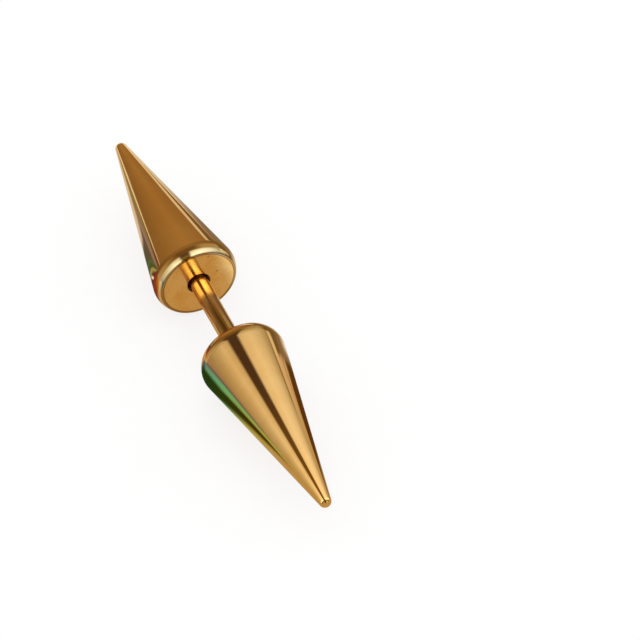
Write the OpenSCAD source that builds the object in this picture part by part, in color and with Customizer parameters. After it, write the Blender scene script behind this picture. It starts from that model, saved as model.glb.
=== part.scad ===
// A spike stud earring: a slim straight post between long tapered spikes.
// The post lies along Y. The front spike stays fixed to it and points to -Y.
// The back spike screws onto its other end and points to +Y.
// The origin is the middle of the bare post, where the ear lobe sits.
// The earring lies on its rounded shoulders, with +Z up. Sizes are in millimetres.

/* [Spikes] */
// Largest diameter of a spike, at its rounded shoulder
spike_d = 5; // [4.6:0.1:8]
// Length of a spike, from its flat base to its tip
spike_len = 12.4; // [10:0.1:18]
// Radius of the rounded shoulder between the flat base and the taper
shoulder_r = 1.17; // [1:0.01:1.5]
// Height of the shoulder's widest point above the flat base
shoulder_rise = 0.66; // [0.3:0.01:0.8]
// Radius of the rounded tip
tip_r = 0.36; // [0.2:0.01:0.6]

/* [Post] */
// Diameter of the bare post
post_d = 1.1; // [0.9:0.05:1.6]
// Length of bare post between the flat bases, which is the room for the lobe
post_len = 6; // [5:0.5:12]
// How deep the bare post sinks into each flat base
post_entry = 0.08; // [0.04:0.01:0.09]
// How much smaller in radius the post's hidden ends are than its bare middle
post_step = 0.16; // [0.16:0.01:0.2]

/* [Holes] */
// Depth of the hole in the front spike, which holds the post for good
socket_depth = 2.6; // [2:0.1:3.5]
// Depth of the tapped hole in the back spike
thread_depth = 3.4; // [2:0.1:4]
// Width of the ring-shaped recess that the back spike's countersink leaves round the post
recess_w = 0.15; // [0.1:0.01:0.2]

/* [Clearances] */
// Gap between the front spike and the post, all round and at the post's shoulder
joint_gap = 0.02; // [0.01:0.01:0.04]
// Gap all round the threaded end in the tapped hole
thread_gap = 0.05; // [0.02:0.01:0.1]
// Gap between the end of the post and the bottom of either hole
end_gap = 0.3; // [0.1:0.05:0.5]

/* [Hidden] */
$fn = 96;

// Finishes: polished gold, the post's deeper gold, and the gold of the spike with the satin base
polished_gold = [0.83, 0.66, 0.4];
deep_gold = [0.8, 0.6, 0.32];
satin_gold = [0.76, 0.6, 0.38];

// Each flat base lies this far from the origin
half_gap = post_len / 2;

// The spike's outline, as radii and heights above its flat base
spike_r = spike_d / 2;
shoulder_centre_r = spike_r - shoulder_r;
base_r = shoulder_centre_r + sqrt(pow(shoulder_r, 2) - pow(shoulder_rise, 2));
tip_centre = spike_len - tip_r;
// The line from the shoulder's centre to the tip's centre: its angle to the axis and its length
centres_angle = atan2(shoulder_centre_r, tip_centre - shoulder_rise);
centres_apart = norm([shoulder_centre_r, tip_centre - shoulder_rise]);
// Angle between the axis and the straight side, which touches both arcs
side_angle = centres_angle + asin((shoulder_r - tip_r) / centres_apart);

// The post's outline, as radii and places along Y
post_r = post_d / 2;
end_r = post_r - post_step;
end_chamfer = 0.15;
fixed_end = -half_gap - socket_depth + end_gap;
fixed_shoulder = -half_gap - post_entry;
threaded_shoulder = half_gap + post_entry;
threaded_end = half_gap + thread_depth - end_gap;

// The holes that take the post's ends
seat_r = post_r + joint_gap;
seat_depth = post_entry + joint_gap;
socket_r = end_r + joint_gap;
thread_r = end_r + thread_gap;
recess_r = post_r + recess_w;
// The countersink's wall leans at 45 degrees, so it is as deep as it is wide
countersink_depth = recess_r - thread_r;
// Half the angle of the point that a twist drill leaves at the bottom of a hole
drill_angle = 59;
// A cutting shape starts this far outside the surface that it cuts
cut_past = 1;

// Where a turned surface closes on itself it has a seam. Each spike is turned about its
// own axis until its seam lies underneath, so that both spikes rest alike on both sides.
front_seam = -90;
back_seam = 90;

// The point where an arc round a centre meets the straight side
function touch_point(centre_r, centre_h, r) =
    [centre_r + r * cos(side_angle), centre_h + r * sin(side_angle)];

// Half of a spike's cross section: shoulder arc, straight side and tip arc
module spike_outline() {
    shoulder_touch = touch_point(shoulder_centre_r, shoulder_rise, shoulder_r);
    tip_touch = touch_point(0, tip_centre, tip_r);
    intersection() {
        union() {
            polygon([[0, 0], [base_r, 0], shoulder_touch, tip_touch, [0, tip_centre]]);
            translate([shoulder_centre_r, shoulder_rise]) circle(shoulder_r);
            translate([0, tip_centre]) circle(tip_r);
        }
        square([spike_d, spike_len + cut_past]);
    }
}

// A spike without its hole, standing on its flat base, with its seam at the given angle
module solid_spike(seam) {
    rotate([0, 0, seam])
        rotate_extrude() spike_outline();
}

// A round bore that starts outside the flat base of a standing spike and goes up into it
module bore(r, depth) {
    translate([0, 0, -cut_past]) cylinder(r = r, h = depth + cut_past);
}

// A bore with the pointed bottom of a drilled hole
module drilled_hole(r, depth) {
    point_h = r / tan(drill_angle);
    bore(r, depth);
    translate([0, 0, depth]) cylinder(r1 = r, r2 = 0, h = point_h);
}

// The spike that stays on the post, with the stepped hole that holds it
module front_spike() {
    color(polished_gold)
        translate([0, -half_gap, 0])
            rotate([90, 0, 0])
                difference() {
                    solid_spike(front_seam);
                    bore(seat_r, seat_depth);
                    drilled_hole(socket_r, socket_depth);
                }
}

// The straight bar: fixed end, bare middle, and the end that carries the thread
module post() {
    outline = [
        [0, fixed_end],
        [end_r - end_chamfer, fixed_end],
        [end_r, fixed_end + end_chamfer],
        [end_r, fixed_shoulder],
        [post_r, fixed_shoulder],
        [post_r, threaded_shoulder],
        [end_r, threaded_shoulder + post_step],
        [end_r, threaded_end - end_chamfer],
        [end_r - end_chamfer, threaded_end],
        [0, threaded_end],
    ];
    color(deep_gold)
        rotate([-90, 0, 0])
            rotate_extrude() polygon(outline);
}

// The spike that screws off, with its countersunk and tapped hole
module back_spike() {
    color(satin_gold)
        translate([0, half_gap, 0])
            rotate([-90, 0, 0])
                difference() {
                    solid_spike(back_seam);
                    drilled_hole(thread_r, thread_depth);
                    cylinder(r1 = recess_r, r2 = thread_r, h = countersink_depth);
                }
}

front_spike();
post();
back_spike();
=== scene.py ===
# %% [markdown]
# # A spike stud earring, turned and gold plated
# One earring lies on its side on a pale table: a slim straight post between two long tapered
# spikes. On the real object every piece is turned on a lathe from steel bar, polished, and
# plated in a gold colour. So every piece here is turned too: half of its outline is drawn once,
# and a full spin round the post's axis makes the solid.
#
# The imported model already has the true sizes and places. It comes in first, and everything
# below is measured from it. The plain solids are then replaced by finer turned pieces, because
# mirror-bright metal shows every flat of a coarse mesh.

import math

import bmesh
import bpy
from mathutils import Matrix, Vector


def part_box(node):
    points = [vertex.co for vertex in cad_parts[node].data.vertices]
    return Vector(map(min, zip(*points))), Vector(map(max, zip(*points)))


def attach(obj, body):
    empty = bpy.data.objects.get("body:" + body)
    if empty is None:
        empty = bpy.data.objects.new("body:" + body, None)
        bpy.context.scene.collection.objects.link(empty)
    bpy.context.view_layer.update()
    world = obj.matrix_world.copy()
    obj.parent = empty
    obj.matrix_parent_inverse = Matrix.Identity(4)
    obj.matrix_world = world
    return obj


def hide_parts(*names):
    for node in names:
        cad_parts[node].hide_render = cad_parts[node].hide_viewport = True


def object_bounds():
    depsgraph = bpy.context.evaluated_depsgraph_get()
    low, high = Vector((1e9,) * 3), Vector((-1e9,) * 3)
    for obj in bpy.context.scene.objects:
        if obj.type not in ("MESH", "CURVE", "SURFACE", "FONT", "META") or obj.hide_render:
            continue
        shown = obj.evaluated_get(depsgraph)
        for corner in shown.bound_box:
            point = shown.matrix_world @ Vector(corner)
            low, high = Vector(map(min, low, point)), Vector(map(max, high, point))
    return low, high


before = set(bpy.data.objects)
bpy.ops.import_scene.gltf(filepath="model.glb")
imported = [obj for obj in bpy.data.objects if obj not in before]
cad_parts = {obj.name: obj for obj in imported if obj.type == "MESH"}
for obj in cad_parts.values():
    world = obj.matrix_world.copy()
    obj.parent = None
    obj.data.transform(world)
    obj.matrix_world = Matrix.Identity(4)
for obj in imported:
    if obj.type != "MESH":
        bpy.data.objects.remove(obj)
cad_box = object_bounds()
print("packed nodes:", sorted(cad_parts))
print("packed box, in metres:", [[round(number, 6) for number in corner] for corner in cad_box])

# %% [markdown]
# ## Sizes
# The post lies along Y, with its middle at the origin. The front spike points to -Y and the
# back spike to +Y. The outlines are drawn in millimetres, the unit that a turner thinks in, and
# each finished mesh is scaled to metres. The main lengths and the largest radii come from the
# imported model's boxes. The smaller sizes are named further down, where each is first needed.

# %% Sizes in millimetres
MM = 0.001

post_low, post_high = (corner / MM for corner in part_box("post"))
back_low, back_high = (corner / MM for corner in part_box("back_spike"))
front_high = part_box("front_spike")[1] / MM

HALF_GAP = back_low.y
SPIKE_LEN = back_high.y - back_low.y
SPIKE_R = min(back_high.x, front_high.x)
POST_R = post_high.x
FIXED_END = post_low.y
THREADED_END = post_high.y

print(f"each spike is {SPIKE_LEN:.2f} mm long and {2 * SPIKE_R:.2f} mm across")
print(f"the bare post is {2 * HALF_GAP:.2f} mm long and {2 * POST_R:.2f} mm thick")

# %% [markdown]
# ## Drawing an outline
# An outline is a chain of edges in the XY plane. X is the distance from the axis and Y is the
# place along it. Three bmesh operators are enough to draw any turned shape: extruding the last
# point makes a straight stretch, spinning the last point round a centre makes an arc, and a
# bevel on a corner point rounds it, as a file breaks a sharp edge.

# %% Helpers that draw an outline
def start_outline(bm, radius, along):
    """Put down the first point of an outline."""
    return bm.verts.new((radius, along, 0))


def line_to(bm, point, radius, along, stretches=1):
    """Draw a straight line from the last point, in equal stretches, and return its end."""
    step = (Vector((radius, along, 0)) - point.co) / stretches
    for _ in range(stretches):
        start = point
        point = bmesh.ops.extrude_vert_indiv(bm, verts=[start])["verts"][0]
        point.co = start.co + step
    point.co = (radius, along, 0)
    return point


def arc_round(bm, point, centre, turn, steps):
    """Swing the last point round a centre and return its new end."""
    circle = {"cent": (*centre, 0), "axis": (0, 0, 1), "angle": turn, "steps": steps}
    swung = bmesh.ops.spin(bm, geom=[point], **circle)
    return next(made for made in swung["geom_last"] if isinstance(made, bmesh.types.BMVert))


def break_corner(bm, corner, size, segments=4):
    """Round one sharp corner of an outline."""
    settings = {"offset_type": "OFFSET", "affect": "VERTICES", "profile": 0.5, "material": -1}
    bmesh.ops.bevel(bm, geom=[corner], offset=size, segments=segments, **settings)


# %% [markdown]
# ## Turning and finishing
# The full spin uses use_merge, so that its last ring joins its first. Points on the axis are
# made once for every step, so doubles are merged after the spin, which closes the poles. A spin
# can leave a shape inside out, so the normals are worked out again on the closed shape.

# %% Helpers that turn an outline and finish a piece
AROUND = 192
MERGE = 0.00002
SHARP = math.radians(30)


def turn_outline(bm):
    """Spin everything drawn so far once round the Y axis."""
    bmesh.ops.spin(
        bm,
        geom=bm.verts[:] + bm.edges[:],
        cent=(0, 0, 0),
        axis=(0, 1, 0),
        angle=2 * math.pi,
        steps=AROUND,
        use_merge=True,
    )
    bmesh.ops.remove_doubles(bm, verts=bm.verts[:], dist=MERGE)


def add_shape(bm, other):
    """Copy one bmesh into another through a spare mesh."""
    spare = bpy.data.meshes.new("spare")
    other.to_mesh(spare)
    other.free()
    bm.from_mesh(spare)
    bpy.data.meshes.remove(spare)


def make_object(bm, name, materials):
    """Turn a bmesh into a smooth object at the origin."""
    mesh = bpy.data.meshes.new(name)
    bm.to_mesh(mesh)
    bm.free()
    mesh.shade_smooth()
    for material in materials:
        mesh.materials.append(material)
    made = bpy.data.objects.new(name, mesh)
    bpy.context.scene.collection.objects.link(made)
    return made


def finish_piece(bm, name, materials):
    """Point the faces outward, scale to metres, make the object and sharpen its true edges."""
    bmesh.ops.recalc_face_normals(bm, faces=bm.faces[:])
    open_edges = sum(not edge.is_manifold for edge in bm.edges)
    bmesh.ops.scale(bm, vec=(MM, MM, MM), verts=bm.verts[:])
    piece = make_object(bm, name, materials)
    piece.data.set_sharp_from_angle(angle=SHARP)
    triangles = sum(len(face.vertices) - 2 for face in piece.data.polygons)
    print(f"{name}: {triangles} triangles, {open_edges} open edges")
    return piece


print(f"each flat round a shoulder is {2 * math.pi * SPIKE_R / AROUND:.3f} mm wide")

# %% [markdown]
# ## Threads
# A thread is one tooth's outline wound up the axis as a helix. Spin does this too when each
# step also climbs a little, which is its dvec. The two ends of the winding are then trimmed
# flat, and bridge_loops joins each rim to the plain ring that it meets. The post's thread and
# the tapped hole's thread keep a hair's breadth apart, because the back spike slides off
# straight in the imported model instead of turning.

# %% Helpers that wind a thread
THREAD_PITCH = 0.2
THREAD_STEPS = 48
TOOTH_TOP = 0.035
TOOTH_BOTTOM = 0.05
ON_RIM = 0.001


def wind_thread(root_r, crest_r, start, end):
    """Make an open helix of teeth between two places along the axis."""
    bm = bmesh.new()
    flank = (THREAD_PITCH - TOOTH_TOP - TOOTH_BOTTOM) / 2
    low = start - THREAD_PITCH
    point = start_outline(bm, root_r, low)
    point = line_to(bm, point, root_r, low + TOOTH_BOTTOM)
    point = line_to(bm, point, crest_r, low + TOOTH_BOTTOM + flank)
    point = line_to(bm, point, crest_r, low + THREAD_PITCH - flank)
    line_to(bm, point, root_r, low + THREAD_PITCH)
    turns = math.ceil((end - start) / THREAD_PITCH) + 2
    bmesh.ops.spin(
        bm,
        geom=bm.verts[:] + bm.edges[:],
        cent=(0, 0, 0),
        axis=(0, 1, 0),
        dvec=(0, THREAD_PITCH / THREAD_STEPS, 0),
        angle=2 * math.pi * turns,
        steps=THREAD_STEPS * turns,
    )
    bmesh.ops.remove_doubles(bm, verts=bm.verts[:], dist=THREAD_PITCH / 200)
    for place, outward in ((start, -1), (end, 1)):
        bmesh.ops.bisect_plane(
            bm,
            geom=bm.verts[:] + bm.edges[:] + bm.faces[:],
            plane_co=(0, place, 0),
            plane_no=(0, outward, 0),
            clear_outer=True,
        )
    return bm


def rim_at(bm, along):
    """The open edges that lie at one place along the axis."""
    return [
        edge
        for edge in bm.edges
        if edge.is_boundary and all(abs(vert.co.y - along) < ON_RIM for vert in edge.verts)
    ]


def join_rims(bm, first, second):
    """Bridge two open rims, each named by its place along the axis."""
    bmesh.ops.bridge_loops(bm, edges=rim_at(bm, first) + rim_at(bm, second))


print(f"one turn of thread climbs {THREAD_PITCH} mm in {THREAD_STEPS} steps")

# %% [markdown]
# ## Node helpers
# A material is a small graph of nodes. place() adds a node, sets its sockets, and links any
# socket that is given another node's output, which also says which graph the node belongs in.
# Each helper after it puts down a node or two, and returns the output that the next one needs.

# %% Helpers for numbers and masks
def place(kind, values, **settings):
    """Add a node to the graph that its links come from, and set or link its sockets."""
    linked = [value for value in values.values() if isinstance(value, bpy.types.NodeSocket)]
    tree = linked[0].id_data
    node = tree.nodes.new(kind)
    for name, value in settings.items():
        setattr(node, name, value)
    for socket, value in values.items():
        if value in linked:
            tree.links.new(value, node.inputs[socket])
        else:
            node.inputs[socket].default_value = value
    return node


def maths(operation, *values):
    """One sum on one to three numbers."""
    node = place("ShaderNodeMath", dict(enumerate(values)), operation=operation)
    return node.outputs[0]


def overlap(mask, *others):
    """Where all the masks meet, which is their product."""
    for other in others:
        mask = maths("MULTIPLY", mask, other)
    return mask


def away_from(value, middle):
    """How far a value lies from a middle, on either side."""
    return maths("ABSOLUTE", maths("SUBTRACT", value, middle))


def fade(value, start, end, low=0.0, high=1.0, change="SMOOTHSTEP"):
    """A change from low to high as a value goes from start to end, smooth unless LINEAR."""
    sockets = {"Value": value, "From Min": start, "From Max": end, "To Min": low, "To Max": high}
    return place("ShaderNodeMapRange", sockets, interpolation_type=change).outputs[0]


def strip(value, start, full, full_end, end):
    """A mask that rises from start to full and falls again from full_end to end."""
    return overlap(fade(value, start, full), fade(value, end, full_end))


# %% [markdown]
# ## Helpers for colours
# A ramp's stops are given in the units of the value that drives it, such as millimetres or
# degrees, so a stop can be read as a place. Noise gives soft random clouds. Its scale says how
# many clouds there are to a metre, because the coordinates are in metres.

# %% Helpers for noise and colours
def noise(at, scale, detail, roughness=0.5):
    """Soft random clouds, mostly between 0.3 and 0.7."""
    sockets = {"Vector": at, "Scale": scale, "Detail": detail, "Roughness": roughness}
    return place("ShaderNodeTexNoise", sockets).outputs[0]


def blend(mask, first, second, blend_type="MIX"):
    """Mix two colours by a mask."""
    sockets = {0: mask, 6: first, 7: second}
    return place("ShaderNodeMix", sockets, data_type="RGBA", blend_type=blend_type).outputs[2]


def scaled(colour, amount):
    """A colour times a number."""
    sockets = {0: colour, "Scale": amount}
    return place("ShaderNodeVectorMath", sockets, operation="SCALE").outputs[0]


def ramp(value, stops):
    """A colour ramp. Each stop is a place on the value's own scale, and the colour there."""
    first, last = stops[0][0], stops[-1][0]
    node = place("ShaderNodeValToRGB", {0: fade(value, first, last, change="LINEAR")})
    elements = node.color_ramp.elements
    while len(elements) < len(stops):
        elements.new(0.5)
    for element, (at, colour) in zip(elements, stops):
        element.position = (at - first) / (last - first)
        element.color = (*colour, 1)
    return node.outputs[0]


# %% [markdown]
# ## Groups and materials
# An effect that several materials share is a node group with named inputs and outputs. Every
# gold here is a metal, and its marks lie on the piece's own Object coordinates.

# %% Helpers that start a group or a material
def new_group(name, inputs, outputs):
    """An empty node group with named sockets, and its two end nodes."""
    group = bpy.data.node_groups.new(name, "ShaderNodeTree")
    for label, (kind, value) in inputs.items():
        socket = group.interface.new_socket(label, in_out="INPUT", socket_type=kind)
        if value is not None:
            socket.default_value = value
    for label, kind in outputs.items():
        group.interface.new_socket(label, in_out="OUTPUT", socket_type=kind)
    print(f"group {name}: {list(inputs)} give {list(outputs)}")
    return group, group.nodes.new("NodeGroupInput"), group.nodes.new("NodeGroupOutput")


def new_material(name, metallic=1.0):
    """A new material, its tree, its shader and the piece's own coordinates."""
    material = bpy.data.materials.new(name)
    material.use_nodes = True
    tree = material.node_tree
    shader = tree.nodes["Principled BSDF"]
    shader.inputs["Metallic"].default_value = metallic
    coordinates = tree.nodes.new("ShaderNodeTexCoord").outputs["Object"]
    print("material:", name)
    return material, tree, shader, coordinates


# %% [markdown]
# ## Where a point is on a turned piece
# Most marks on a turned piece follow the lathe: they run round the axis or along it. This group
# turns a place in metres into the three numbers that a turner would use: millimetres along the
# axis from the flat base, millimetres from the axis, and degrees round it. The +X side is 0
# degrees, straight up is 90 and the -X side is 180.

# %% Group: lathe places
def make_lathe_places():
    """Along, Radius and Round, worked out from a place in metres."""
    group, start, end = new_group(
        "lathe_places",
        {"Place": ("NodeSocketVector", None)},
        {"Along": "NodeSocketFloat", "Radius": "NodeSocketFloat", "Round": "NodeSocketFloat"},
    )
    split = place("ShaderNodeSeparateXYZ", {0: start.outputs["Place"]})
    across, along, up = split.outputs
    distance = maths("MULTIPLY", maths("ABSOLUTE", along), 1 / MM)
    from_base = maths("SUBTRACT", distance, HALF_GAP)
    square = maths("MULTIPLY", across, across)
    square = maths("ADD", square, maths("MULTIPLY", up, up))
    radius = maths("MULTIPLY", maths("SQRT", square), 1 / MM)
    degrees = maths("DEGREES", maths("ARCTAN2", up, across))
    turned = maths("WRAP", degrees, 270, -90)
    group.links.new(from_base, end.inputs["Along"])
    group.links.new(radius, end.inputs["Radius"])
    group.links.new(turned, end.inputs["Round"])
    return group


lathe_places = make_lathe_places()


def on_lathe(at):
    """The three lathe numbers of a place, as outputs that go by name."""
    return place("ShaderNodeGroup", {"Place": at}, node_tree=lathe_places).outputs


# %% [markdown]
# ## The plating's colour
# Gold-coloured plating is never one flat colour. It is a little deeper where it lies thick and a
# little paler where it is thin. Wide clouds, and fine ones that are seven times smaller, move
# the colour between a deeper and a paler gold.

# %% Group: plating colour
FINE_TIMES = 7.0
FINE_SHARE = 0.35


def make_plating_colour():
    """A gold that drifts between a deep and a pale tone."""
    group, start, end = new_group(
        "plating_colour",
        {
            "Place": ("NodeSocketVector", None),
            "Deep": ("NodeSocketColor", (0.78, 0.45, 0.14, 1)),
            "Pale": ("NodeSocketColor", (0.86, 0.56, 0.24, 1)),
            "Clouds per Metre": ("NodeSocketFloat", 500.0),
        },
        {"Colour": "NodeSocketColor"},
    )
    at, deep, pale, clouds = list(start.outputs)[:4]
    wide = noise(at, clouds, 2.0)
    fine = noise(at, maths("MULTIPLY", clouds, FINE_TIMES), 3.0)
    amount = maths("MULTIPLY", wide, 1 - FINE_SHARE)
    amount = maths("MULTIPLY_ADD", fine, FINE_SHARE, amount)
    colour = blend(fade(amount, 0.35, 0.65), deep, pale)
    group.links.new(colour, end.inputs["Colour"])
    return group


plating_colour = make_plating_colour()


def add_plating(at, deep, pale, clouds):
    """The plating's own colour, for one material."""
    values = {"Place": at, "Deep": (*deep, 1), "Pale": (*pale, 1), "Clouds per Metre": clouds}
    return place("ShaderNodeGroup", values, node_tree=plating_colour).outputs["Colour"]


# %% [markdown]
# ## What polishing leaves behind
# A polished spike is bright, but not a perfect mirror. The lathe tool leaves fine rings, the
# buffing wheel leaves faint lengthwise lines, and the hand that holds the piece to the wheel
# leaves a slight waviness that makes the edges of reflections wander. The group gives a height
# for a Bump node and a mask for the roughness. Its Wave, Ring and Line inputs say how much of
# each mark goes into the height. The lines are noise on a circle, so they meet all the way
# round the piece.

# %% Group: polishing marks
RINGS_PER_MM = 22.0
LINE_CIRCLE = 14.0
LINE_STRETCH = 0.25
SCUFFS_PER_M = 900.0


def make_polish_marks():
    """Waviness, lathe rings and buffing lines on a turned piece."""
    group, start, end = new_group(
        "polish_marks",
        {
            "Place": ("NodeSocketVector", None),
            "Waves per Metre": ("NodeSocketFloat", 350.0),
            "Wave": ("NodeSocketFloat", 1.0),
            "Ring": ("NodeSocketFloat", 0.1),
            "Line": ("NodeSocketFloat", 0.1),
        },
        {"Height": "NodeSocketFloat", "Dulling": "NodeSocketFloat"},
    )
    at = start.outputs["Place"]
    lathe = on_lathe(at)
    waves = noise(at, start.outputs["Waves per Metre"], 1.0)
    ring_row = maths("MULTIPLY", lathe["Along"], RINGS_PER_MM)
    ring_place = place("ShaderNodeCombineXYZ", {0: ring_row, 1: lathe["Radius"]})
    rings = noise(ring_place.outputs[0], 1.0, 3.0)
    turn = maths("RADIANS", lathe["Round"])
    spots = {
        0: maths("MULTIPLY", maths("COSINE", turn), LINE_CIRCLE),
        1: maths("MULTIPLY", maths("SINE", turn), LINE_CIRCLE),
        2: maths("MULTIPLY", lathe["Along"], LINE_STRETCH),
    }
    lines = noise(place("ShaderNodeCombineXYZ", spots).outputs[0], 1.0, 3.0)
    height = maths("MULTIPLY", waves, start.outputs["Wave"])
    height = maths("MULTIPLY_ADD", rings, start.outputs["Ring"], height)
    height = maths("MULTIPLY_ADD", lines, start.outputs["Line"], height)
    scuffs = noise(at, SCUFFS_PER_M, 4.0, 0.6)
    dulling = overlap(fade(scuffs, 0.4, 0.7), lines)
    group.links.new(height, end.inputs["Height"])
    group.links.new(dulling, end.inputs["Dulling"])
    return group


polish_marks = make_polish_marks()


def add_marks(tree, shader, at, height_mm, dull, bright, waves, wave, ring, line):
    """Feed the polishing marks to a shader's Roughness and Normal, and return the normal."""
    values = {"Place": at, "Waves per Metre": waves, "Wave": wave, "Ring": ring, "Line": line}
    polish = place("ShaderNodeGroup", values, node_tree=polish_marks).outputs
    heights = {"Strength": 1.0, "Distance": height_mm * MM, "Height": polish["Height"]}
    bump = place("ShaderNodeBump", heights).outputs[0]
    tree.links.new(bump, shader.inputs["Normal"])
    rough = maths("MULTIPLY_ADD", polish["Dulling"], dull - bright, bright)
    tree.links.new(rough, shader.inputs["Roughness"])
    return bump


# %% [markdown]
# ## Polished gold for the tapers
# The tapers are the brightest surface. Roughness stays low and rises only a little where the
# buffing left haze. The bump is about a micrometre high, which is enough to let the edge of a
# reflected light wander as it does on real buffed metal.
#
# On the back spike, a painted highlight makes the corner a paler gold on its upper side, and
# a thin dark line runs along the edge of its base. Both are masks on the lathe numbers.

# %% Material: polished gold
# The colour of a thin dark line along the edges of the flat bases
DARK_EDGE_LINE = (0.14, 0.06, 0.02, 1)
# The colour of the painted highlight on the back spike's corner
RIM_HIGHLIGHT = (1.0, 0.84, 0.5, 1)


def make_polished_gold():
    """Bright gold-coloured plating on the tapers and shoulders."""
    material, tree, shader, coordinates = new_material("polished_gold")
    colour = add_plating(coordinates, (0.82, 0.49, 0.17), (0.86, 0.545, 0.21), 320.0)
    lathe = on_lathe(coordinates)
    split = place("ShaderNodeSeparateXYZ", {0: coordinates})
    on_back_spike = maths("GREATER_THAN", split.outputs[1], 0)
    # Painted highlight: a paler gold on the upper side of the back spike's corner
    rim_highlight_mask = overlap(
        fade(lathe["Along"], 0.34, 0.22),
        on_back_spike,
        fade(lathe["Round"], 30, 52),
        fade(lathe["Round"], 184, 156),
    )
    colour = blend(rim_highlight_mask, colour, RIM_HIGHLIGHT)
    # A thin dark line along the edge of the back spike's base
    dark_edge_line = overlap(fade(lathe["Along"], 0.09, 0.03, 0, 0.6), on_back_spike)
    colour = blend(dark_edge_line, colour, DARK_EDGE_LINE)
    tree.links.new(colour, shader.inputs["Base Color"])
    add_marks(tree, shader, coordinates, 0.0012, 0.11, 0.055, waves=330, wave=1, ring=0.02, line=0.05)
    return material


polished_gold = make_polished_gold()

# %% [markdown]
# ## The flat bases
# The flat bases are faced on the lathe and plated, but hardly polished. They mirror the post,
# with a soft mottle in the gold, a few small dark pits, and a thin dark line at the rim.

# %% Material: faced gold
PIT = (0.25, 0.12, 0.03, 1)
PITS_PER_M = 1100.0


def make_faced_gold():
    """The flat bases: a soft mirror with mottling, pits and a dark rim."""
    material, tree, shader, coordinates = new_material("faced_gold")
    colour = add_plating(coordinates, (0.82, 0.46, 0.13), (0.9, 0.58, 0.22), 900.0)
    pits = place("ShaderNodeTexVoronoi", {"Vector": coordinates, "Scale": PITS_PER_M})
    in_pit = fade(pits.outputs["Distance"], 0.1, 0.04, 0, 0.5)
    colour = blend(in_pit, colour, PIT)
    # A thin dark line along the rim of each flat base
    dark_edge_line = fade(on_lathe(coordinates)["Radius"], 2.1, 2.18, 0, 0.8)
    colour = blend(dark_edge_line, colour, DARK_EDGE_LINE)
    tree.links.new(colour, shader.inputs["Base Color"])
    add_marks(tree, shader, coordinates, 0.0008, 0.22, 0.1, waves=700, wave=1, ring=0.3, line=0.02)
    return material


faced_gold = make_faced_gold()

# %% [markdown]
# ## No wheel polishes inside a hole, so its walls stay dull, and their dark brown colour is painted
# shade from the depth of the hole.
# Plating hardly reaches into a hole, and no wheel polishes it, so its walls stay dull and dark.
# The thread cut on the end of the post is thinly plated, and dull too.

# %% Materials: bore metal with painted shade, and cut thread
def make_plain_metal(name, deep, pale, marks):
    """A metal with no more to it than its plating and its polishing marks."""
    material, tree, shader, coordinates = new_material(name)
    colour = add_plating(coordinates, deep, pale, 1500.0)
    tree.links.new(colour, shader.inputs["Base Color"])
    add_marks(tree, shader, coordinates, *marks)
    return material


# The height in mm, the dull and the bright roughness, waves to a metre, wave, ring and line
BORED_MARKS = (0.002, 0.5, 0.32, 1500, 1, 0.5, 0.1)
THREAD_MARKS = (0.0015, 0.4, 0.22, 1500, 0.8, 0.05, 0.1)
# Painted shade: the walls of the holes are coloured dark for the shade deep inside them
bore_with_painted_shade = make_plain_metal("bore_with_painted_shade", (0.09, 0.04, 0.02), (0.2, 0.1, 0.045), BORED_MARKS)
thread_gold = make_plain_metal("thread_gold", (0.5, 0.3, 0.12), (0.74, 0.48, 0.2), THREAD_MARKS)

# %% [markdown]
# ## The post's metal
# The post is drawn bar. Drawing leaves long fine grooves, and the plating over them is duller
# than on the spikes, with brown and rosy streaks. The streaks are noise that a Mapping node
# stretches along the bar, and the brown ones also give the height of the grooves.

# %% Material: drawn gold
ALONG_BAR = (1, 0.07, 1)
STREAK_BROWN = (0.42, 0.25, 0.09, 1)
STREAK_ROSE = (0.58, 0.27, 0.15, 1)
GROOVE_MM = 0.02


def make_drawn_gold():
    """The bare post, with fine lengthwise streaks."""
    material, tree, shader, coordinates = new_material("drawn_gold")
    colour = add_plating(coordinates, (0.76, 0.46, 0.16), (0.86, 0.57, 0.25), 700.0)
    mapping = place("ShaderNodeMapping", {"Vector": coordinates, "Scale": ALONG_BAR})
    stretched = mapping.outputs[0]
    brown = noise(stretched, 3200.0, 2.0)
    colour = blend(fade(brown, 0.46, 0.6), colour, STREAK_BROWN)
    rose = noise(stretched, 2100.0, 3.0)
    colour = blend(fade(rose, 0.48, 0.6, 0, 0.8), colour, STREAK_ROSE)
    tree.links.new(colour, shader.inputs["Base Color"])
    marks = add_marks(
        tree, shader, coordinates, 0.0016, 0.26, 0.12, waves=500, wave=0.4, ring=0.02, line=0.9
    )
    heights = {"Strength": 1.0, "Distance": GROOVE_MM * MM, "Height": brown, "Normal": marks}
    grooves = place("ShaderNodeBump", heights)
    tree.links.new(grooves.outputs[0], shader.inputs["Normal"])
    return material


drawn_gold = make_drawn_gold()

# %% [markdown]
# ## The spikes
# A spike's outline is a small round tip, a straight side that touches it, and a rounded shoulder
# that the side touches too. The shoulder ends at the edge of the flat base, which is broken
# slightly, so that it catches a thin line of light. The straight side has thirty rings, because
# smooth shading bends a reflection where a very long face meets a very short one.

# %% Helpers for both spikes
SHOULDER_R = 1.17
SHOULDER_RISE = 0.66
TIP_R = 0.36
EDGE_BREAK = 0.1
TIP_STEPS = 20
SIDE_RINGS = 30
SHOULDER_STEPS = 48
BASE_RINGS = 6

SHOULDER_CENTRE_R = SPIKE_R - SHOULDER_R
TIP_CENTRE = SPIKE_LEN - TIP_R
CENTRES_RISE = TIP_CENTRE - SHOULDER_RISE
SIDE_ANGLE = math.atan2(SHOULDER_CENTRE_R, CENTRES_RISE) + math.asin(
    (SHOULDER_R - TIP_R) / math.hypot(SHOULDER_CENTRE_R, CENTRES_RISE)
)
BASE_ANGLE = math.asin(SHOULDER_RISE / SHOULDER_R)


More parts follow.
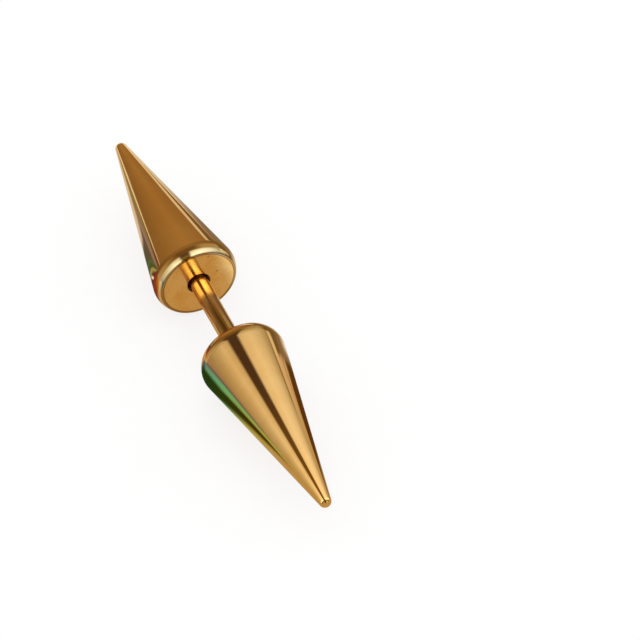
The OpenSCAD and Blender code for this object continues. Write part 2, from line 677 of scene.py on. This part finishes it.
def draw_spike(bm):
    """Draw a standing spike's outside, from its tip down to the edge of its flat base."""
    touch_r = SHOULDER_CENTRE_R + SHOULDER_R * math.cos(SIDE_ANGLE)
    touch_rise = SHOULDER_RISE + SHOULDER_R * math.sin(SIDE_ANGLE)
    point = start_outline(bm, 0, SPIKE_LEN)
    point = arc_round(bm, point, (0, TIP_CENTRE), SIDE_ANGLE - math.radians(90), TIP_STEPS)
    point = line_to(bm, point, touch_r, touch_rise, stretches=SIDE_RINGS)
    centre = (SHOULDER_CENTRE_R, SHOULDER_RISE)
    return arc_round(bm, point, centre, -SIDE_ANGLE - BASE_ANGLE, SHOULDER_STEPS)


print(f"the sides lean in by {math.degrees(SIDE_ANGLE):.2f} degrees")

# %% [markdown]
# ## Which surface a face belongs to
# Each spike has three surfaces: polished outside, faced base, and the dull inside of its hole.
# A face's middle tells them apart, while the spike still stands with its base at zero.

# %% Helper that names the surfaces
SINK_R = 0.7
TAPPED_R = 0.44
TAPPED_DEPTH = 3.4
DRILL_POINT = math.radians(59)
OUTSIDE, BASE, HOLE = range(3)


def name_surfaces(bm):
    """Give each face of a standing spike its surface."""
    counts = [0, 0, 0]
    for face in bm.faces:
        centre = face.calc_center_median()
        in_hole = math.hypot(centre.x, centre.z) < SINK_R and centre.y < TAPPED_DEPTH + TAPPED_R
        surface = HOLE if in_hole else OUTSIDE
        face.material_index = BASE if centre.y < MERGE else surface
        counts[face.material_index] += 1
    print("faces outside, on the flat base and in the hole:", counts)


print(f"the tapped hole is {TAPPED_DEPTH} mm deep, without its drill point")

# %% [markdown]
# ## The front spike
# It stays fixed to the post. Its hole is a shallow seat that swallows the end of the bare post,
# and a narrower socket below it with the pointed bottom that a drill leaves.

# %% Piece: front spike
SEAT_R = 0.57
SEAT_DEPTH = 0.1
SOCKET_R = 0.41
SOCKET_DEPTH = 2.6


def make_front_spike():
    """Turn the spike that points to -Y."""
    bm = bmesh.new()
    edge = draw_spike(bm)
    point = line_to(bm, edge, SEAT_R, 0, stretches=BASE_RINGS)
    point = line_to(bm, point, SEAT_R, SEAT_DEPTH)
    point = line_to(bm, point, SOCKET_R, SEAT_DEPTH)
    point = line_to(bm, point, SOCKET_R, SOCKET_DEPTH)
    line_to(bm, point, 0, SOCKET_DEPTH + SOCKET_R / math.tan(DRILL_POINT))
    break_corner(bm, edge, EDGE_BREAK)
    turn_outline(bm)
    name_surfaces(bm)
    half_turn = Matrix.Rotation(math.pi, 3, "Z")
    bmesh.ops.rotate(bm, cent=(0, 0, 0), matrix=half_turn, verts=bm.verts[:])
    bmesh.ops.translate(bm, vec=(0, -HALF_GAP, 0), verts=bm.verts[:])
    return finish_piece(bm, "front_spike_turned", [polished_gold, faced_gold, bore_with_painted_shade])


front_spike = make_front_spike()

# %% [markdown]
# ## The back spike
# It screws off, so its hole has a wide countersink that leads the post in, which shows as a dark
# ring round the post, and a tapped thread below. A short plain ring joins the countersink to
# the thread, and another joins the thread to the drilled bottom.

# %% Piece: back spike
SINK_DEPTH = SINK_R - TAPPED_R
SINK_BREAK = 0.02
HOLE_THREAD_CREST = 0.4
HOLE_THREAD_ROOT = 0.47
HOLE_THREAD_START = 0.4
HOLE_THREAD_END = 3.1
TOP_RING = SINK_DEPTH + 0.05
BOTTOM_RING = TAPPED_DEPTH - 0.1


def make_back_spike():
    """Turn the spike that points to +Y, with its countersink and tapped hole."""
    bm = bmesh.new()
    edge = draw_spike(bm)
    rim = line_to(bm, edge, SINK_R, 0, stretches=BASE_RINGS)
    point = line_to(bm, rim, TAPPED_R, SINK_DEPTH)
    line_to(bm, point, TAPPED_R, TOP_RING)
    break_corner(bm, edge, EDGE_BREAK)
    break_corner(bm, rim, SINK_BREAK, segments=2)
    turn_outline(bm)
    bottom = bmesh.new()
    point = start_outline(bottom, TAPPED_R, BOTTOM_RING)
    point = line_to(bottom, point, TAPPED_R, TAPPED_DEPTH)
    line_to(bottom, point, 0, TAPPED_DEPTH + TAPPED_R / math.tan(DRILL_POINT))
    turn_outline(bottom)
    add_shape(bm, bottom)
    thread = wind_thread(HOLE_THREAD_ROOT, HOLE_THREAD_CREST, HOLE_THREAD_START, HOLE_THREAD_END)
    add_shape(bm, thread)
    join_rims(bm, TOP_RING, HOLE_THREAD_START)
    join_rims(bm, HOLE_THREAD_END, BOTTOM_RING)
    name_surfaces(bm)
    bmesh.ops.translate(bm, vec=(0, HALF_GAP, 0), verts=bm.verts[:])
    return finish_piece(bm, "back_spike_turned", [polished_gold, faced_gold, bore_with_painted_shade])


back_spike = make_back_spike()

# %% [markdown]
# ## The post, modelled
# The bare middle shows between the flat bases. The fixed end is a plain pin inside the front
# spike. The other end narrows at 45 degrees to a relief groove, then carries the thread, and
# ends in a flat cap that is a little narrower, so the thread starts easily.

# %% Piece: post
POST_ENTRY = 0.08
POST_RINGS = 20
END_R = 0.39
END_CHAMFER = 0.15
THREAD_ROOT = 0.3
THREAD_START = 3.5
THREAD_FINISH = THREADED_END - 0.1
GROOVE_END = THREAD_START - 0.08
CAP_R = THREAD_ROOT - 0.03


def make_post():
    """Turn the bar, and wind the thread on its +Y end."""
    bm = bmesh.new()
    fixed_shoulder = -HALF_GAP - POST_ENTRY
    threaded_shoulder = HALF_GAP + POST_ENTRY
    point = start_outline(bm, 0, FIXED_END)
    point = line_to(bm, point, END_R - END_CHAMFER, FIXED_END)
    point = line_to(bm, point, END_R, FIXED_END + END_CHAMFER)
    point = line_to(bm, point, END_R, fixed_shoulder)
    point = line_to(bm, point, POST_R, fixed_shoulder)
    point = line_to(bm, point, POST_R, threaded_shoulder, stretches=POST_RINGS)
    point = line_to(bm, point, END_R, threaded_shoulder + POST_R - END_R)
    point = line_to(bm, point, THREAD_ROOT, threaded_shoulder + POST_R - THREAD_ROOT)
    line_to(bm, point, THREAD_ROOT, GROOVE_END)
    turn_outline(bm)
    cap = bmesh.new()
    line_to(cap, start_outline(cap, CAP_R, THREADED_END), 0, THREADED_END)
    turn_outline(cap)
    add_shape(bm, cap)
    add_shape(bm, wind_thread(THREAD_ROOT, END_R, THREAD_START, THREAD_FINISH))
    join_rims(bm, GROOVE_END, THREAD_START)
    join_rims(bm, THREAD_FINISH, THREADED_END)
    for face in bm.faces:
        face.material_index = int(face.calc_center_median().y > threaded_shoulder)
    return finish_piece(bm, "post_turned", [drawn_gold, thread_gold])


post = make_post()

# %% [markdown]
# ## The table, as the gold mirrors it
# The earring rests on both shoulders on a plain pale table. Polished gold takes most of its
# colour from what it mirrors, so the table is coloured twice. The camera sees it almost white.
# The gold sees a tan ground with tinted cards on it, as if they lay beside the earring just
# outside the picture. Every tint is a mask and a colour, blended over the ones before it, and
# all their numbers are millimetres across (X) and along (Y).
#
# The ground is tan under the front spike and paler under the back spike. This is painted shade
# of the earring on the mirrored table, and it keeps the front spike's underside from washing
# out. The ground is white far behind. At the right, painted shade lies as a dull brown sheet and
# a warm brown card, with a white shine between them: they become the brown band with a pale line
# on the front spike's right flank. Their borders run aslant.

# %% Tints: the ground and the painted shade at the right
SHADED_TAN = (0.6, 0.47, 0.29, 1)
PALE = (0.8, 0.75, 0.66, 1)
WHITE = (1, 1, 1, 1)
# Painted shade colours for the mirrored table at the right, in the earring's shadow
WARM_SHADE = (0.12, 0.05, 0.01, 1)
DULL_SHADE = (0.27, 0.2, 0.14, 1)
MAUVE = (0.42, 0.33, 0.4, 1)
RIGHT_SLOPE = -0.475
RIGHT_START = (2.2, 3.2)
DULL_SHADE_FRONT = (-5.4, -4.4)
SHINE_BAND = (-4.8, -3.5, 2, 6)
FAR_LEFT_BAND = (-2, 4, 9, 13)


def tint_ground(across, along):
    """Tan, pale and white bands of painted shade, the painted shade at the right with its shine, and
    mauve at the far left.
    """
    # Painted shade: the mirrored ground is tan near the front spike, paler behind and white far off
    ground = blend(fade(along, 2.5, 6), SHADED_TAN, PALE)
    ground = blend(fade(along, 20, 24), ground, WHITE)
    slant = maths("MULTIPLY_ADD", across, RIGHT_SLOPE, along)
    # Painted shade: a dull brown stretch of table in the earring's shadow at the right
    on_dull_shade = overlap(
        fade(across, *RIGHT_START),
        fade(slant, *DULL_SHADE_FRONT),
        fade(maths("SUBTRACT", along, across), 13, 6, 0.1, 1),
    )
    ground = blend(on_dull_shade, ground, DULL_SHADE)
    right_end = fade(across, 12, 3)
    shine = overlap(strip(slant, *SHINE_BAND), right_end, fade(across, *RIGHT_START))
    ground = blend(shine, ground, WHITE)
    # Painted shade: a warm dark strip of table in the earring's shadow, next to the spike
    past_corner = maths("MAXIMUM", maths("SUBTRACT", -5.9, slant), 0)
    warm_shade_end = maths("MULTIPLY_ADD", past_corner, 4, 12.4)
    on_warm_shade = overlap(
        fade(maths("SUBTRACT", across, warm_shade_end), 14, -3),
        fade(across, 1.2, 2.4),
        fade(slant, *reversed(DULL_SHADE_FRONT)),
        fade(along, -12, -8),
    )
    ground = blend(on_warm_shade, ground, WARM_SHADE)
    far_left = overlap(strip(along, *FAR_LEFT_BAND), fade(across, -14, -18))
    return blend(far_left, ground, MAUVE)


print(f"the borders at the right slant by {math.degrees(math.atan(-RIGHT_SLOPE)):.0f} degrees")

# %% [markdown]
# ## The rainbow card
# A glossy card at the left front runs from tan over green and teal to blue. The front spike's
# left flank mirrors it as a coloured streak. A shade darkens the card next to the spike, and
# its far left corner lies in dusk. Its back border is bent, so the border is a new coordinate:
# millimetres in front of or behind a line with one corner. The card shows in the first
# mirroring only, or the post would show a green line through the flat base.

# %% Tints: the rainbow card at the left
CARD_SHADE = (0.11, 0.095, 0.02, 1)
DUSK = (0.19, 0.22, 0.3, 1)
CARD_SIDES = (-22, -15, -2, -1)
SHADE_SLOPE = -0.57
# Each line: its slope, and its value at zero
SHADE_LINES = [(-0.3, -0.99), (0.5, 1.65)]
# Each stop: millimetres along Y, and the tint of the rainbow card there
CARD_STOPS = [
    (-10, (0.58, 0.46, 0.26)),
    (-6.6, (0.5, 0.58, 0.17)),
    (-4.4, (0.27, 0.66, 0.34)),
    (-2, (0.15, 0.72, 0.72)),
    (0, (0.16, 0.4, 0.7)),
]


def bend(value, lines):
    """The higher of two straight lines over a value, which makes a line with one corner."""
    first, second = (maths("MULTIPLY_ADD", value, slope, start) for slope, start in lines)
    return maths("MAXIMUM", first, second)


def tint_rainbow_card(ground, across, along, border, first_mirror):
    """Lay the rainbow card over the ground."""
    card = ramp(along, CARD_STOPS)
    from_spike = maths("ADD", across, bend(along, SHADE_LINES))
    shade = overlap(fade(from_spike, -7.0, -4.6), fade(along, -10.5, -7.5))
    from_back = maths("MULTIPLY_ADD", along, SHADE_SLOPE, across)
    shade = overlap(shade, fade(from_back, 2, -0.6), fade(along, 1.5, -1.5, 0.5, 1))
    card = blend(shade, card, CARD_SHADE, "MULTIPLY")
    dusk = overlap(fade(across, -9.5, -13), fade(along, -7, -3))
    card = blend(dusk, card, DUSK)
    on_card = overlap(strip(across, *CARD_SIDES), fade(along, 3, 2))
    on_card = overlap(on_card, fade(border, -2, -2.8), first_mirror)
    return blend(on_card, ground, card)


print(f"the rainbow card reaches {-CARD_SIDES[0]} mm to the left, with {len(CARD_STOPS)} stops")

# %% [markdown]
# ## The darker card, the striped card and the glint
# A darker card lies behind, beside the back spike. In front of it a striped card runs along the
# bent border, from orange over red to a thin yellow-green line. At the foot of the back spike
# they mirror as its small green, red and orange patches, with one white glint.

# %% Tints: the cards beside the back spike
RED_BROWN = (0.18, 0.08, 0.04, 1)
BACK_SIDES = (-14, -12, -2, -1)
BACK_ENDS = (4, 6, 22.5, 24.5)
STRIPED_SIDES = (-30, -24, -2, -1)
STRIPED_BAND = (-7, -5, 6.7, 7.1)
GLINT_X = -3.6
GLINT_Y = 7.6
GLINT_SQUEEZE = 0.25
GLINT_SLOPE = 2.4
# Each stop: millimetres along Y, and the tint of the darker card there
BACK_STOPS = [
    (8, (0.1, 0.13, 0.07)),
    (12.2, (0.16, 0.13, 0.15)),
    (13.6, (0.29, 0.33, 0.38)),
    (14.7, (0.45, 0.27, 0.46)),
    (15.8, (0.27, 0.28, 0.2)),
    (20, (0.3, 0.31, 0.2)),
]
# Each stop: millimetres from the bent border, and the tint of the striped card there
STRIPE_STOPS = [
    (-6, (0.75, 0.65, 0.5)),
    (-1.7, (0.48, 0.26, 0.06)),
    (1.5, (0.31, 0.08, 0.015)),
    (4.8, (0.2, 0.05, 0.08)),
    (5.5, (0.1, 0.06, 0.05)),
    (5.9, (0.5, 0.55, 0.27)),
    (6.2, (0.08, 0.1, 0.02)),
    (6.6, (0.11, 0.2, 0.1)),
]


def tint_back_card(ground, across, along):
    """Lay the darker card, with its red-brown far corner, over the ground."""
    back = ramp(along, BACK_STOPS)
    far_corner = overlap(fade(across, -8.8, -9.8), fade(along, 13, 16))
    back = blend(far_corner, back, RED_BROWN)
    shifted = maths("ADD", across, fade(along, 8, 12, 0, 2))
    on_back = overlap(strip(shifted, *BACK_SIDES), strip(along, *BACK_ENDS))
    return blend(on_back, ground, back)


def tint_striped_card(ground, across, along, border):
    """Lay the striped card over the ground."""
    behind = fade(along, 3.8, 4.8)
    on_stripes = overlap(strip(across, *STRIPED_SIDES), behind, strip(border, *STRIPED_BAND))
    return blend(on_stripes, ground, ramp(border, STRIPE_STOPS))


def tint_glint(ground, across, along):
    """Set a slanted white spot on the striped card."""
    off_x = maths("MULTIPLY", maths("SUBTRACT", across, GLINT_X), GLINT_SQUEEZE)
    off_y = maths("SUBTRACT", along, GLINT_Y)
    off_y = maths("MULTIPLY_ADD", off_x, GLINT_SLOPE, off_y)
    off_glint = place("ShaderNodeCombineXYZ", {0: off_x, 1: off_y}).outputs[0]
    length = place("ShaderNodeVectorMath", {0: off_glint}, operation="LENGTH")
    return blend(fade(length.outputs["Value"], 0.26, 0.12), ground, WHITE)


print(f"{len(BACK_STOPS)} stops on the darker card, {len(STRIPE_STOPS)} on the striped one")

# %% [markdown]
# ## The table itself
# A Light Path node tells the gold's rays from the camera's, and counts the mirrorings. Most of
# the table's light is its own, as if it were lit from below, and the room gives the rest. So it
# stays bright under the earring, where a photographer's white table shows almost no shadow.

# %% Table
TABLE_HALF = 0.6
TABLE_GLOW = 0.77
TABLE_LIT = 0.25
GRAIN_PER_M = 900.0
# Each line: its slope, and its value at zero
BORDER_LINES = [(1.07, 1.46), (0.63, -2.06)]


def tint_table(coordinates, first_mirror):
    """All the tints in turn, each laid over those before it."""
    split = place("ShaderNodeSeparateXYZ", {0: coordinates})
    across = maths("MULTIPLY", split.outputs[0], 1 / MM)
    along = maths("MULTIPLY", split.outputs[1], 1 / MM)
    border = maths("ADD", along, bend(across, BORDER_LINES))
    ground = tint_ground(across, along)
    ground = tint_rainbow_card(ground, across, along, border, first_mirror)
    ground = tint_back_card(ground, across, along)
    ground = tint_striped_card(ground, across, along, border)
    return tint_glint(ground, across, along)


def make_table():
    """A plain pale table under the earring."""
    material, tree, shader, coordinates = new_material("pale_table", metallic=0.0)
    shader.inputs["Roughness"].default_value = 0.9
    shader.inputs["Specular IOR Level"].default_value = 0.0
    grain = noise(coordinates, GRAIN_PER_M, 4.0)
    pale = blend(grain, (0.98, 0.98, 0.98, 1), WHITE)
    path = tree.nodes.new("ShaderNodeLightPath").outputs
    first_mirror = maths("LESS_THAN", path["Glossy Depth"], 1.5)
    tints = tint_table(coordinates, first_mirror)
    seen = blend(path["Is Glossy Ray"], pale, tints)
    tree.links.new(scaled(seen, TABLE_LIT), shader.inputs["Base Color"])
    tree.links.new(seen, shader.inputs["Emission Color"])
    shader.inputs["Emission Strength"].default_value = TABLE_GLOW
    bm = bmesh.new()
    bmesh.ops.create_grid(bm, x_segments=1, y_segments=1, size=TABLE_HALF)
    bmesh.ops.translate(bm, vec=(0, 0, cad_box[0][2]), verts=bm.verts[:])
    return make_object(bm, "table", [material])


table = make_table()
print(f"the table lies at z = {cad_box[0][2] / MM:.3f} mm")

# %% [markdown]
# ## Lights that only the gold meets
# A jewel photographer lights polished metal by what it mirrors. The earring stands in a small
# tent, with a brown arch over its back half. Both are screens of plain light, and no ray but a
# glossy one meets them. Everything else sees an evenly white room, so the table is plainly lit.

# %% Helpers for the lighting screens
ROOM_TOP = 85


def new_light(name):
    """A material with no shader yet, its tree, the degrees round the axis and its X, Y and Z."""
    material = bpy.data.materials.new(name)
    material.use_nodes = True
    material.cycles.emission_sampling = "NONE"
    tree = material.node_tree
    tree.nodes.remove(tree.nodes["Principled BSDF"])
    coordinates = tree.nodes.new("ShaderNodeTexCoord").outputs["Object"]
    turned = on_lathe(coordinates)["Round"]
    print("light:", name)
    return material, tree, turned, place("ShaderNodeSeparateXYZ", {0: coordinates}).outputs


def show_to_gold_only(screen):
    """Hide a lighting screen from every ray but a glossy one."""
    for ray in ("camera", "diffuse", "shadow", "transmission", "volume_scatter"):
        setattr(screen, f"visible_{ray}", False)


# %% [markdown]
# ## The tent's soft boxes
# The tent's light depends on two numbers: degrees round the earring's axis, from the right side
# over the top to the left, and how far a place leans along the axis, from -1 in front to 1
# behind. A long soft box stands on each side. One ramp gives their colour round the axis, and
# a second gives how strong they are along it. Behind they change into an even wall that takes
# its brown from the second ramp. A ramp can't go past 1, so the strengths are stored divided
# by the strongest and multiplied again.

# %% Light: soft boxes
STRONGEST = 4
# Each stop: degrees round the axis, and the soft boxes' colour there
SIDE_STOPS = [
    (-5, (0.4, 0.35, 0.27)),
    (22, (0.56, 0.52, 0.43)),
    (42, (0.87, 0.85, 0.82)),
    (65, (1.0, 0.99, 0.97)),
    (85, (0.9, 0.87, 0.8)),
    (120, (0.7, 0.65, 0.55)),
    (138, (0.87, 0.83, 0.75)),
    (162, (0.63, 0.59, 0.47)),
    (185, (0.5, 0.44, 0.34)),
]
# Each stop: how far a place leans to +Y, and the strength of the light there
LEAN_STOPS = [
    (-1.0, (1.0, 0.95, 0.85)),
    (-0.86, (0.9, 0.85, 0.75)),
    (-0.8, (0.2, 0.17, 0.1)),
    (-0.67, (0.3, 0.25, 0.15)),
    (-0.6, (3.2, 3.8, 3.9)),
    (-0.45, (2.2, 2.2, 2.2)),
    (-0.22, (1.8, 1.8, 1.8)),
    (-0.12, (1.25, 1.25, 1.25)),
    (0.0, (1.06, 1.06, 1.06)),
    (0.16, (1.0, 1.0, 1.0)),
    (0.26, (0.82, 0.81, 0.79)),
    (0.36, (0.67, 0.65, 0.57)),
    (0.52, (0.56, 0.49, 0.37)),
    (0.7, (0.42, 0.29, 0.15)),
    (1.0, (0.42, 0.27, 0.12)),
]


def light_boxes(turned, lean):
    """The soft boxes, and the brown wall behind them."""
    far_fall = fade(lean, 0.74, 0.86, 0, -0.32)
    to_side = fade(away_from(turned, ROOM_TOP), 0, 90, change="LINEAR")
    wall_level = maths("MULTIPLY_ADD", to_side, far_fall, 1)
    wall = place("ShaderNodeCombineColor", {0: wall_level, 1: wall_level, 2: wall_level})
    boxes = ramp(turned, SIDE_STOPS)
    boxes = blend(fade(lean, 0.28, 0.5), boxes, wall.outputs[0])
    levels = [(at, [part / STRONGEST for part in level]) for at, level in LEAN_STOPS]
    light = blend(1.0, boxes, ramp(lean, levels), "MULTIPLY")
    return scaled(light, STRONGEST)


print(f"the boxes have {len(SIDE_STOPS)} stops round the axis and {len(LEAN_STOPS)} along it")

# %% [markdown]
# ## The dark gap
# Between the two boxes, a little left of straight up, the tent is dark. On a spike the boxes
# become two pale bands with this dark stripe between them. The gap widens toward the back and
# toward the front, where it is browner, and it ends before the far wall.

# %% Light: the gap between the boxes
GAP_MIDDLE = 106
GAP_HALF = 13
GAP_SPREAD = 55
GAP_SPREAD_START = 0.3
GAP_SOFTNESS = 4.5
FRONT_GAP_START = -0.2
FRONT_GAP_SPREAD = -45
DARK_GAP = (0.085, 0.055, 0.04, 1)
FRONT_GAP = (0.19, 0.11, 0.018, 1)


def add_gap(light, turned, lean):
    """Darken the stripe between the boxes."""
    to_back = maths("MAXIMUM", maths("SUBTRACT", lean, GAP_SPREAD_START), 0)
    back_half = maths("MULTIPLY_ADD", to_back, GAP_SPREAD, GAP_HALF)
    to_front = maths("SUBTRACT", lean, FRONT_GAP_START)
    front_half = maths("MULTIPLY", to_front, FRONT_GAP_SPREAD)
    half = maths("MAXIMUM", back_half, front_half)
    past_half = maths("SUBTRACT", away_from(turned, GAP_MIDDLE), half)
    in_gap = fade(past_half, GAP_SOFTNESS, -GAP_SOFTNESS)
    in_gap = overlap(in_gap, fade(lean, 0.85, 0.5))
    gap = blend(fade(lean, -0.15, 0.12), FRONT_GAP, DARK_GAP)
    return blend(in_gap, light, gap)


print(f"the gap is {2 * GAP_HALF} degrees wide at its narrowest")

# %% [markdown]
# ## Low lights at the right and behind
# Low on the right the box ends in a pale glow with a darker foot and a dark upper edge. Behind
# it the tent is dim and brown near the table, with a bright rim along the top of that dim part.
# The rim shows near its start and again at the far end. A white line at the far end marks
# the horizon.

# %% Light: glow, rim and horizon
SIDE_TOP = 20
RIM_LIGHT = (0.85, 0.82, 0.76, 1)
LOW_BACK = (0.2, 0.14, 0.06, 1)
SIDE_GLOW = (0.78, 0.66, 0.6, 1)
FRONT_GLOW = (0.58, 0.5, 0.36, 1)
SIDE_FOOT = (0.5, 0.38, 0.22, 1)
SIDE_EDGE = (0.3, 0.23, 0.13, 1)


def add_side_glow(light, turned, lean, slant):
    """The pale glow low on the right, with its foot and its edge."""
    glow = blend(fade(lean, 0.26, 0.08), SIDE_GLOW, FRONT_GLOW)
    glow = blend(fade(turned, 7, -4), glow, SIDE_FOOT)
    light = blend(fade(turned, SIDE_TOP, SIDE_TOP - 4), light, glow)
    on_edge = fade(away_from(turned, SIDE_TOP), 3.5, 1)
    on_edge = overlap(on_edge, fade(slant, 0.19, 0.24))
    return blend(on_edge, light, SIDE_EDGE)


def add_back_rim(light, turned, lean, slant):
    """The dim low back, with a bright rim along its top."""
    rising = maths("MULTIPLY_ADD", lean, 65, -4.5)
    rim_turn = maths("MINIMUM", rising, fade(lean, 0.7, 1.0, 31, 3))
    above_rim = maths("SUBTRACT", turned, rim_turn)
    behind_side = fade(slant, 0.306, 0.314)
    low_back = overlap(fade(above_rim, 2, -3), behind_side)
    light = blend(low_back, light, LOW_BACK)
    rim_half = fade(lean, 0.7, 0.8, 1, 4)
    off_rim = maths("SUBTRACT", maths("ABSOLUTE", above_rim), rim_half)
    rim_shows = maths("MAXIMUM", fade(lean, 0.34, 0.3), fade(lean, 0.74, 0.8))
    on_rim = overlap(fade(off_rim, 7, 2), behind_side, rim_shows)
    return blend(on_rim, light, RIM_LIGHT)


def add_horizon(light, turned, lean, up):
    """The white line low at the far end."""
    above = maths("SUBTRACT", up, fade(turned, 60, 120, 1, -1.8))
    horizon = overlap(fade(above, 1.5, 0), fade(lean, 0.88, 0.94))
    return blend(horizon, light, WHITE)


print(f"the side glow ends {SIDE_TOP} degrees above the right side")

# %% [markdown]
# ## The tent
# The tent is a dome that is open below. Its light is built up in the order of the last cells.

# %% Light tent
TENT_R = 34
BELOW_TABLE = 0.02
EDGE_SLANT = 0.0037


def make_tent_light():
    """The tent's light, from the soft boxes to the horizon."""
    material, tree, turned, (_, y, z) = new_light("tent_light")
    lean = maths("MULTIPLY", y, 1 / (TENT_R * MM))
    slant = maths("MULTIPLY_ADD", turned, EDGE_SLANT, lean)
    light = light_boxes(turned, lean)
    light = add_gap(light, turned, lean)
    light = add_side_glow(light, turned, lean, slant)
    light = add_back_rim(light, turned, lean, slant)
    light = add_horizon(light, turned, lean, maths("MULTIPLY", z, 1 / MM))
    emission = place("ShaderNodeEmission", {0: light})
    tree.links.new(emission.outputs[0], tree.nodes["Material Output"].inputs["Surface"])
    return material


def make_tent():
    """A dome round the earring that only glossy rays meet."""
    bm = bmesh.new()
    bmesh.ops.create_uvsphere(bm, u_segments=96, v_segments=48, radius=TENT_R * MM)
    bmesh.ops.bisect_plane(
        bm,
        geom=bm.verts[:] + bm.edges[:] + bm.faces[:],
        plane_co=(0, 0, cad_box[0][2] - BELOW_TABLE * MM),
        plane_no=(0, 0, 1),
        clear_inner=True,
    )
    tent = make_object(bm, "light_tent", [make_tent_light()])
    show_to_gold_only(tent)
    return tent


tent = make_tent()
print(f"the tent reaches {max(vert.co.z for vert in tent.data.vertices) / MM:.1f} mm up")

# %% [markdown]
# ## The brown arch
# A close brown arch stands over the back spike, like a hood of stiff paper. The back spike
# mirrors it along its whole length, and the post and the edge of the front spike's shoulder
# mirror its nearer part. Its front edge is soft, so it thins out over a few millimetres. Near
# that edge its underside has a lighter cheek on each side of a dark middle. Farther back it is
# an even brown, a little dimmer toward its feet. The left foot reaches lower near the front
# than at the back.

# %% Brown arch
ARCH_R = 12
ARCH_FRONT = 3
ARCH_BACK = 31
ARCH_START = 18
ARCH_TURN = 172
ARCH_BROWN = (0.42, 0.27, 0.12)
# Each stop: degrees round the axis, and the arch's colour near its front edge
ARCH_STOPS = [
    (18, (0.47, 0.41, 0.3)),
    (60, (0.45, 0.38, 0.25)),
    (80, (0.19, 0.12, 0.04)),
    (120, (0.17, 0.1, 0.04)),
    (142, (0.33, 0.25, 0.12)),
    (160, (0.46, 0.37, 0.23)),
    (190, (0.5, 0.42, 0.34)),
]


def make_arch_light():
    """The arch's colour, with soft edges that let the tent show through."""
    material, tree, turned, (_, y, _) = new_light("arch_light")
    along = maths("MULTIPLY", y, 1 / MM)
    to_feet = fade(away_from(turned, ROOM_TOP), 0, 90, 1, 0.68, "LINEAR")
    level = overlap(to_feet, fade(along, 15, 21, 0.74, 1))
    front = ramp(turned, ARCH_STOPS)
    light = blend(fade(along, 8.5, 11.5), front, scaled(ARCH_BROWN, level))
    left_foot = fade(along, 13, 19, 200, 190)
    shows = overlap(
        fade(turned, left_foot, maths("SUBTRACT", left_foot, 6)),
        fade(turned, 19, 24),
        fade(along, 3.2, 6),
    )
    emission = place("ShaderNodeEmission", {0: light}).outputs[0]
    clear = tree.nodes.new("ShaderNodeBsdfTransparent").outputs[0]
    mix = place("ShaderNodeMixShader", {0: shows, 1: clear, 2: emission})
    tree.links.new(mix.outputs[0], tree.nodes["Material Output"].inputs["Surface"])
    return material


def make_arch():
    """A half tunnel over the back spike, spun from one straight line."""
    bm = bmesh.new()
    start = math.radians(ARCH_START)
    foot = bm.verts.new((ARCH_R * math.cos(start), ARCH_FRONT, ARCH_R * math.sin(start)))
    line = bmesh.ops.extrude_vert_indiv(bm, verts=[foot])
    line["verts"][0].co.y = ARCH_BACK
    bmesh.ops.spin(
        bm,
        geom=[foot, *line["verts"], *line["edges"]],
        cent=(0, 0, 0),
        axis=(0, -1, 0),
        angle=math.radians(ARCH_TURN),
        steps=ARCH_TURN // 2,
    )
    bmesh.ops.scale(bm, vec=(MM, MM, MM), verts=bm.verts[:])
    arch = make_object(bm, "brown_arch", [make_arch_light()])
    show_to_gold_only(arch)
    return arch


arch = make_arch()
print(f"the arch has {len(arch.data.polygons)} faces")

# %% [markdown]
# ## The room
# Outside the tent the room is an even white. It lights the table and gives the soft shadow under
# the earring.

# %% Room
room = bpy.data.worlds.new("white_room")
room.use_nodes = True
background = room.node_tree.nodes["Background"]
background.inputs["Color"].default_value = WHITE
bpy.context.scene.world = room
print("room light:", list(background.inputs["Color"].default_value))

# %% [markdown]
# ## The camera
# The photograph looks down on the earring from its front left, through a long lens. The lens
# and the distance keep the photograph's weak perspective, and the picture's middle lies beside
# the post, so that the earring sits where it does in the photograph.

# %% Camera
CAMERA_ROUND = math.radians(-23.44)
CAMERA_HEIGHT = math.radians(46.2)
CAMERA_DISTANCE = 230 * MM
PICTURE_RIGHT = 5.718 * MM
PICTURE_DOWN = 0.13 * MM
LENS = 228.6
SENSOR = 36
NEAREST_SEEN = 10 * MM


def make_camera():
    """A level camera at the photograph's angle."""
    right = Vector((math.cos(CAMERA_ROUND), math.sin(CAMERA_ROUND), 0))
    level = math.cos(CAMERA_HEIGHT)
    back = Vector((0, 0, math.sin(CAMERA_HEIGHT)))
    back.x = math.sin(CAMERA_ROUND) * level
    back.y = -math.cos(CAMERA_ROUND) * level
    up = back.cross(right)
    data = bpy.data.cameras.new("camera")
    data.sensor_width = SENSOR
    data.lens = LENS
    data.clip_start = NEAREST_SEEN
    camera = bpy.data.objects.new("camera", data)
    bpy.context.scene.collection.objects.link(camera)
    turn = Matrix((right, up, back)).transposed()
    spot = back * CAMERA_DISTANCE + right * PICTURE_RIGHT - up * PICTURE_DOWN
    camera.matrix_world = Matrix.Translation(spot) @ turn.to_4x4()
    bpy.context.scene.camera = camera
    return camera


camera = make_camera()
bpy.context.scene.view_settings.view_transform = "Standard"
print("camera at", [round(number, 4) for number in camera.matrix_world.translation])

# %% [markdown]
# ## Riding on the bodies
# The front spike and the post belong to the body that stays still. The back spike rides on the
# body that slides off the post. Each turned piece stands for the imported node that it replaces.

# %% Bodies and nodes
for piece, node, body, slot in (
    (front_spike, "front_spike", "stud", "spike_gold"),
    (post, "post", "stud", "post_gold"),
    (back_spike, "back_spike", "screw_back", "spike_gold"),
):
    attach(piece, body)
    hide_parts(node)
